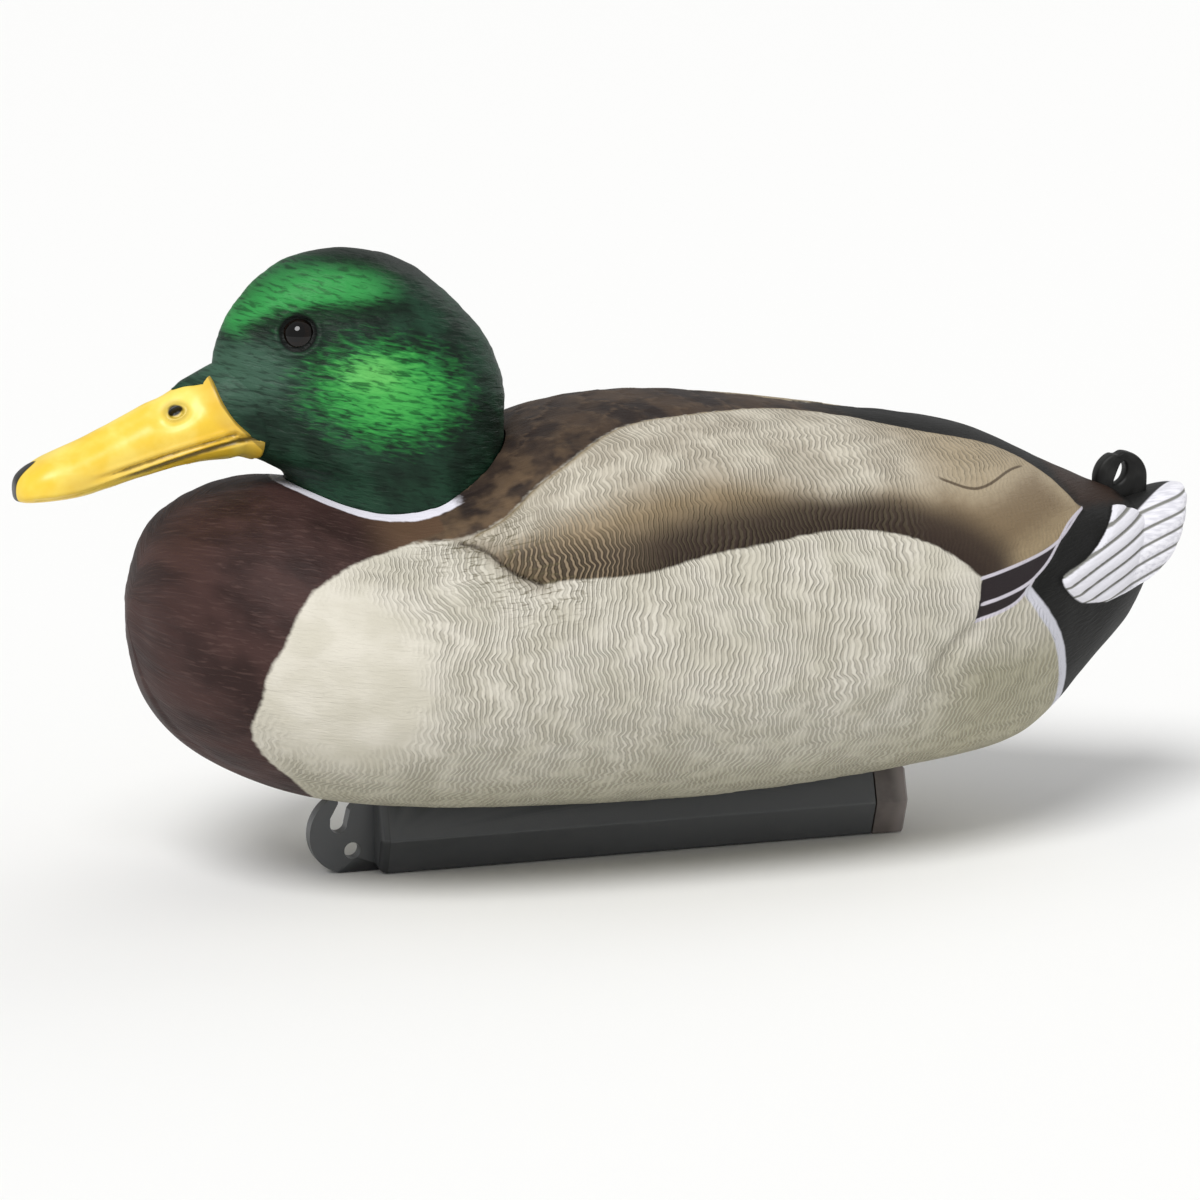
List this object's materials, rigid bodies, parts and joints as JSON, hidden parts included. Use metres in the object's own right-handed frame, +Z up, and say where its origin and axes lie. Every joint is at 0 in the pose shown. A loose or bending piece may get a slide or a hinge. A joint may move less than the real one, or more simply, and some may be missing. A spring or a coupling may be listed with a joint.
{
  "type": "floating duck decoy",
  "caption": "Hollow floating drake duck decoy with a swivelling snap-in head, feathered body, curled tail and a ballasted keel with a line hook and a pull-out cap.",
  "frame": {"origin": "on the ground under the middle of the bounding box, in the duck's middle plane", "axes": "+X towards the tail, +Y towards the duck's right side, +Z up; the bill points to -X"},
  "size_m": [0.4101, 0.1675, 0.2086],
  "materials": {
    "painted_body": "moulded polyethylene with flat paint",
    "painted_head": "moulded polyethylene with satin green paint",
    "painted_bill": "moulded polyethylene with satin yellow paint",
    "eye_glass": "polished dark acrylic",
    "keel_plastic": "charcoal moulded polyethylene",
    "cap_plastic": "grey moulded polyethylene",
    "black_rubber": "moulded rubber",
    "ballast_sand": "dry packed sand",
    "screw_steel": "zinc-plated steel",
    "post_nylon": "black moulded nylon"
  },
  "bodies": {
    "hull": {"body_shell": "painted_body", "neck_grommet": "black_rubber", "drain_plug": "black_rubber", "keel_shell": "keel_plastic", "keel_ballast": "ballast_sand", "keel_screws": "screw_steel", "keel_screw_washers": "screw_steel"},
    "head": {"head_shell": "painted_head", "bill": "painted_bill", "eye_left": "eye_glass", "eye_right": "eye_glass", "neck_post": "post_nylon", "post_washer": "screw_steel", "post_screw": "screw_steel"},
    "cap": {"keel_cap": "cap_plastic", "cap_seal": "black_rubber"}
  },
  "joints": [
    {"name": "head_swivel", "type": "hinge", "parent": "hull", "child": "head", "pos_m": [-0.077, 0, 0.12], "axis": [0, 0, 1], "range_deg": [-60, 60]},
    {"name": "keel_cap_pull", "type": "slide", "parent": "hull", "child": "cap", "axis": [1, 0, 0], "range_m": [0, 0.02]}
  ]
}
